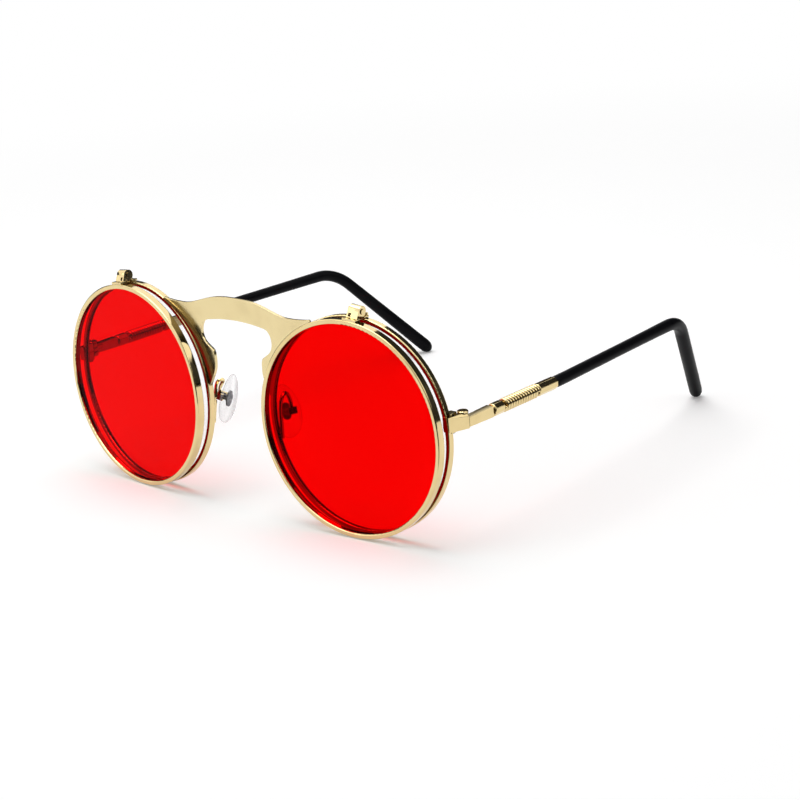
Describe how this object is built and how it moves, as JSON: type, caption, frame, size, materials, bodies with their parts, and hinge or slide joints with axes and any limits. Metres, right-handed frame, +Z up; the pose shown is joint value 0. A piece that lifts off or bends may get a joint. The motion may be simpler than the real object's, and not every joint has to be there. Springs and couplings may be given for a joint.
{
  "type": "flip up sunglasses",
  "caption": "Round metal sunglasses whose tinted outer lenses hinge up from clear fixed lenses, on folding spring-decorated temples with dark ear sleeves.",
  "frame": {"origin": "middle of the footprint on the table, below the centre of the open glasses", "axes": "+X to the wearer's left, +Y from the lenses back along the temples, +Z up; the front leans back 1.5 degrees from upright as it stands on a table"},
  "size_m": [0.127, 0.1232, 0.0534],
  "materials": {
    "gold_metal": "polished light gold plating over nickel silver or brass",
    "bright_gold": "flat polished plate, pale gold",
    "steel": "small stainless screws, springs and inserts",
    "tinted_lens": "clear saturated red tint, glossy, flat",
    "clear_lens": "clear, glossy, flat",
    "pad_silicone": "clear soft silicone",
    "sleeve": "black, half gloss"
  },
  "bodies": {
    "front": {"bridge_plate": "bright_gold", "base_rim_left": "gold_metal", "base_lens_left": "clear_lens", "endpiece_left": "gold_metal", "closing_block_upper_left": "gold_metal", "closing_block_lower_left": "gold_metal", "rim_screw_left": "steel", "hinge_screw_left": "gold_metal", "pad_arm_left": "gold_metal", "pad_screw_left": "steel", "flip_bracket_left": "gold_metal", "flip_pin_left": "gold_metal", "flip_spring_left": "steel", "base_rim_right": "gold_metal", "base_lens_right": "clear_lens", "endpiece_right": "gold_metal", "closing_block_upper_right": "gold_metal", "closing_block_lower_right": "gold_metal", "rim_screw_right": "steel", "hinge_screw_right": "gold_metal", "pad_arm_right": "gold_metal", "pad_screw_right": "steel", "flip_bracket_right": "gold_metal", "flip_pin_right": "gold_metal", "flip_spring_right": "steel"},
    "flip_front_left": {"flip_rim_left": "gold_metal", "flip_lens_left": "tinted_lens", "flip_knuckle_left": "gold_metal"},
    "temple_left": {"temple_block_left": "gold_metal", "spring_collar_left": "gold_metal", "temple_core_left": "gold_metal", "temple_spring_left": "gold_metal", "ferrule_left": "gold_metal", "temple_tip_left": "sleeve"},
    "nose_pad_left": {"nose_pad_left": "pad_silicone", "pad_insert_left": "steel"},
    "flip_front_right": {"flip_rim_right": "gold_metal", "flip_lens_right": "tinted_lens", "flip_knuckle_right": "gold_metal"},
    "temple_right": {"temple_block_right": "gold_metal", "spring_collar_right": "gold_metal", "temple_core_right": "gold_metal", "temple_spring_right": "gold_metal", "ferrule_right": "gold_metal", "temple_tip_right": "sleeve"},
    "nose_pad_right": {"nose_pad_right": "pad_silicone", "pad_insert_right": "steel"}
  },
  "joints": [
    {"name": "flip_left_hinge", "type": "hinge", "parent": "front", "child": "flip_front_left", "pos_m": [0.03824, -0.05574, 0.05199], "axis": [-0.992, -0.0701, 0.1047], "range_deg": [0, 90]},
    {"name": "flip_right_hinge", "type": "hinge", "parent": "front", "child": "flip_front_right", "pos_m": [-0.03824, -0.05574, 0.05199], "axis": [-0.992, 0.0701, -0.1047], "range_deg": [0, 90]},
    {"name": "temple_left_fold", "type": "hinge", "parent": "front", "child": "temple_left", "pos_m": [0.061, -0.04972, 0.02892], "axis": [0, 0, 1], "range_deg": [0, 82]},
    {"name": "temple_right_fold", "type": "hinge", "parent": "front", "child": "temple_right", "pos_m": [-0.061, -0.04972, 0.02892], "axis": [0, 0, -1], "range_deg": [0, 72]},
    {"name": "nose_pad_left_rock", "type": "hinge", "parent": "front", "child": "nose_pad_left", "pos_m": [0.01159, -0.05259, 0.0243], "axis": [0.2419, 0.97, -0.0254], "range_deg": [-8, 8]},
    {"name": "nose_pad_right_rock", "type": "hinge", "parent": "front", "child": "nose_pad_right", "pos_m": [-0.01159, -0.05259, 0.0243], "axis": [0.2419, -0.97, 0.0254], "range_deg": [-8, 8]}
  ]
}
